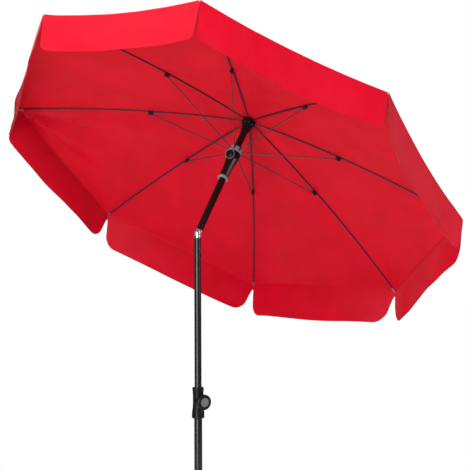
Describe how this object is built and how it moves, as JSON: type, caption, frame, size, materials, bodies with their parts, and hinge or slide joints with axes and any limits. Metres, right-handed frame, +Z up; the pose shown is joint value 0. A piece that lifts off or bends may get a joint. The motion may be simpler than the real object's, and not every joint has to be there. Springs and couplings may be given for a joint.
{
  "type": "patio umbrella with base",
  "caption": "Tilting patio parasol: folding steel ribs and stretchers under a cloth canopy with a valance, on a height-adjustable pole with a knee joint and a round stand.",
  "frame": {"origin": "centre of the stand's underside, on the pole's axis", "axes": "+Z up along the pole; +X is the side that the open canopy leans down to; the knee hinge runs along Y"},
  "size_m": [1.4583, 1.8176, 2.4434],
  "materials": {
    "slab": "matte",
    "rubber": "matte",
    "black_steel": "gloss",
    "zinc_steel": "satin",
    "chrome": "polished",
    "black_plastic": "satin",
    "grey_plastic": "satin",
    "brass": "satin",
    "spring_steel": "satin",
    "rib_steel": "satin",
    "stretcher_steel": "satin",
    "fitting_steel": "satin",
    "canopy_cloth": "matte"
  },
  "bodies": {
    "base": {"base_slab": "slab", "base_feet": "rubber", "base_socket": "black_steel", "socket_bolts": "zinc_steel", "pole_sleeve": "black_plastic"},
    "base_clamp_knob": {"base_clamp_knob": "black_plastic"},
    "lower_pole": {"pole_foot": "black_plastic", "lower_pole": "black_steel", "height_collar": "black_plastic", "clamp_shoe": "brass"},
    "clamp_knob": {"clamp_knob": "black_plastic", "clamp_knob_cap": "grey_plastic"},
    "upper_pole": {"upper_pole": "black_steel", "upper_pole_bush": "black_plastic", "knee_fork": "chrome", "knee_pin": "zinc_steel"},
    "stick": {"stick_tube": "black_steel", "knee_tongue": "chrome", "crown_hub": "black_plastic", "crown_wire": "zinc_steel", "crown_cap": "black_plastic"},
    "runner": {"runner_body": "black_plastic", "runner_inlay": "grey_plastic", "runner_rings": "grey_plastic"},
    "runner_button": {"runner_button": "black_plastic", "runner_button_spring": "spring_steel"},
    "rib_1": {"rib_1": "rib_steel", "rib_fittings_1": "fitting_steel", "canopy_panel_1": "canopy_cloth"},
    "stretcher_1": {"stretcher_1": "stretcher_steel"},
    "rib_2": {"rib_2": "rib_steel", "rib_fittings_2": "fitting_steel", "canopy_panel_2": "canopy_cloth"},
    "stretcher_2": {"stretcher_2": "stretcher_steel"},
    "rib_3": {"rib_3": "rib_steel", "rib_fittings_3": "fitting_steel", "canopy_panel_3": "canopy_cloth"},
    "stretcher_3": {"stretcher_3": "stretcher_steel"},
    "rib_4": {"rib_4": "rib_steel", "rib_fittings_4": "fitting_steel", "canopy_panel_4": "canopy_cloth"},
    "stretcher_4": {"stretcher_4": "stretcher_steel"},
    "rib_5": {"rib_5": "rib_steel", "rib_fittings_5": "fitting_steel", "canopy_panel_5": "canopy_cloth"},
    "stretcher_5": {"stretcher_5": "stretcher_steel"},
    "rib_6": {"rib_6": "rib_steel", "rib_fittings_6": "fitting_steel", "canopy_panel_6": "canopy_cloth"},
    "stretcher_6": {"stretcher_6": "stretcher_steel"},
    "rib_7": {"rib_7": "rib_steel", "rib_fittings_7": "fitting_steel", "canopy_panel_7": "canopy_cloth"},
    "stretcher_7": {"stretcher_7": "stretcher_steel"},
    "rib_8": {"rib_8": "rib_steel", "rib_fittings_8": "fitting_steel", "canopy_panel_8": "canopy_cloth"},
    "stretcher_8": {"stretcher_8": "stretcher_steel"}
  },
  "joints": [
    {"name": "base_clamp_knob_turn", "type": "hinge", "parent": "base", "child": "base_clamp_knob", "pos_m": [0, 0, 0.29], "axis": [-0.3746, -0.9272, 0], "range_deg": [0, 360]},
    {"name": "pole_swivel", "type": "hinge", "parent": "base", "child": "lower_pole", "pos_m": [0, 0, 0.33], "axis": [0, 0, 1], "continuous": true},
    {"name": "clamp_knob_turn", "type": "hinge", "parent": "lower_pole", "child": "clamp_knob", "pos_m": [0, 0, 0.92], "axis": [-0.3746, -0.9272, 0], "range_deg": [0, 360]},
    {"name": "height_slide", "type": "slide", "parent": "lower_pole", "child": "upper_pole", "axis": [0, 0, 1], "range_m": [-0.35, 0.15]},
    {"name": "canopy_tilt", "type": "hinge", "parent": "upper_pole", "child": "stick", "pos_m": [0, 0, 1.59], "axis": [0, 1, 0], "range_deg": [-38.3, 0]},
    {"name": "runner_slide", "type": "slide", "parent": "stick", "child": "runner", "axis": [-0.6198, 0, -0.7848], "range_m": [0, 0.25]},
    {"name": "runner_button_press", "type": "slide", "parent": "runner", "child": "runner_button", "axis": [0.9576, 0.1884, -0.2178], "range_m": [0, 0.002], "stiffness_N_per_m": 800, "deforming": ["runner_button_spring"]},
    {"name": "rib_1_fold", "type": "hinge", "parent": "stick", "child": "rib_1", "pos_m": [0.37629, 0.00842, 2.03367], "axis": [-0.3003, 0.9239, 0.2372], "range_deg": [0, 19.53], "deforming": ["canopy_panel_1"]},
    {"name": "stretcher_1_fold", "type": "hinge", "parent": "runner", "child": "stretcher_1", "pos_m": [0.28164, 0.00995, 1.90786], "axis": [-0.3003, 0.9239, 0.2372], "range_deg": [-19.16, 0]},
    {"name": "rib_2_fold", "type": "hinge", "parent": "stick", "child": "rib_2", "pos_m": [0.36694, 0.02032, 2.04105], "axis": [-0.725, 0.3827, 0.5726], "range_deg": [0, 19.53], "deforming": ["canopy_panel_2"]},
    {"name": "stretcher_2_fold", "type": "hinge", "parent": "runner", "child": "stretcher_2", "pos_m": [0.27059, 0.02402, 1.91658], "axis": [-0.725, 0.3827, 0.5726], "range_deg": [-19.16, 0]},
    {"name": "rib_3_fold", "type": "hinge", "parent": "stick", "child": "rib_3", "pos_m": [0.35373, 0.02032, 2.05148], "axis": [-0.725, -0.3827, 0.5726], "range_deg": [0, 19.53], "deforming": ["canopy_panel_3"]},
    {"name": "stretcher_3_fold", "type": "hinge", "parent": "runner", "child": "stretcher_3", "pos_m": [0.25498, 0.02402, 1.92891], "axis": [-0.725, -0.3827, 0.5726], "range_deg": [-19.16, 0]},
    {"name": "rib_4_fold", "type": "hinge", "parent": "stick", "child": "rib_4", "pos_m": [0.34438, 0.00842, 2.05886], "axis": [-0.3003, -0.9239, 0.2372], "range_deg": [0, 19.53], "deforming": ["canopy_panel_4"]},
    {"name": "stretcher_4_fold", "type": "hinge", "parent": "runner", "child": "stretcher_4", "pos_m": [0.24394, 0.00995, 1.93763], "axis": [-0.3003, -0.9239, 0.2372], "range_deg": [-19.16, 0]},
    {"name": "rib_5_fold", "type": "hinge", "parent": "stick", "child": "rib_5", "pos_m": [0.34438, -0.00842, 2.05886], "axis": [0.3003, -0.9239, -0.2372], "range_deg": [0, 19.53], "deforming": ["canopy_panel_5"]},
    {"name": "stretcher_5_fold", "type": "hinge", "parent": "runner", "child": "stretcher_5", "pos_m": [0.24394, -0.00995, 1.93763], "axis": [0.3003, -0.9239, -0.2372], "range_deg": [-19.16, 0]},
    {"name": "rib_6_fold", "type": "hinge", "parent": "stick", "child": "rib_6", "pos_m": [0.35373, -0.02032, 2.05148], "axis": [0.725, -0.3827, -0.5726], "range_deg": [0, 19.53], "deforming": ["canopy_panel_6"]},
    {"name": "stretcher_6_fold", "type": "hinge", "parent": "runner", "child": "stretcher_6", "pos_m": [0.25498, -0.02402, 1.92891], "axis": [0.725, -0.3827, -0.5726], "range_deg": [-19.16, 0]},
    {"name": "rib_7_fold", "type": "hinge", "parent": "stick", "child": "rib_7", "pos_m": [0.36694, -0.02032, 2.04105], "axis": [0.725, 0.3827, -0.5726], "range_deg": [0, 19.53], "deforming": ["canopy_panel_7"]},
    {"name": "stretcher_7_fold", "type": "hinge", "parent": "runner", "child": "stretcher_7", "pos_m": [0.27059, -0.02402, 1.91658], "axis": [0.725, 0.3827, -0.5726], "range_deg": [-19.16, 0]},
    {"name": "rib_8_fold", "type": "hinge", "parent": "stick", "child": "rib_8", "pos_m": [0.37629, -0.00842, 2.03367], "axis": [0.3003, 0.9239, -0.2372], "range_deg": [0, 19.53], "deforming": ["canopy_panel_8"]},
    {"name": "stretcher_8_fold", "type": "hinge", "parent": "runner", "child": "stretcher_8", "pos_m": [0.28164, -0.00995, 1.90786], "axis": [0.3003, 0.9239, -0.2372], "range_deg": [-19.16, 0]}
  ],
  "couplings": [
    {"joint": "rib_1_fold", "follows": "runner_slide", "rad_per_m": 1.3287},
    {"joint": "stretcher_1_fold", "follows": "runner_slide", "rad_per_m": -1.3029},
    {"joint": "rib_2_fold", "follows": "runner_slide", "rad_per_m": 1.3287},
    {"joint": "stretcher_2_fold", "follows": "runner_slide", "rad_per_m": -1.3029},
    {"joint": "rib_3_fold", "follows": "runner_slide", "rad_per_m": 1.3287},
    {"joint": "stretcher_3_fold", "follows": "runner_slide", "rad_per_m": -1.3029},
    {"joint": "rib_4_fold", "follows": "runner_slide", "rad_per_m": 1.3287},
    {"joint": "stretcher_4_fold", "follows": "runner_slide", "rad_per_m": -1.3029},
    {"joint": "rib_5_fold", "follows": "runner_slide", "rad_per_m": 1.3287},
    {"joint": "stretcher_5_fold", "follows": "runner_slide", "rad_per_m": -1.3029},
    {"joint": "rib_6_fold", "follows": "runner_slide", "rad_per_m": 1.3287},
    {"joint": "stretcher_6_fold", "follows": "runner_slide", "rad_per_m": -1.3029},
    {"joint": "rib_7_fold", "follows": "runner_slide", "rad_per_m": 1.3287},
    {"joint": "stretcher_7_fold", "follows": "runner_slide", "rad_per_m": -1.3029},
    {"joint": "rib_8_fold", "follows": "runner_slide", "rad_per_m": 1.3287},
    {"joint": "stretcher_8_fold", "follows": "runner_slide", "rad_per_m": -1.3029}
  ]
}
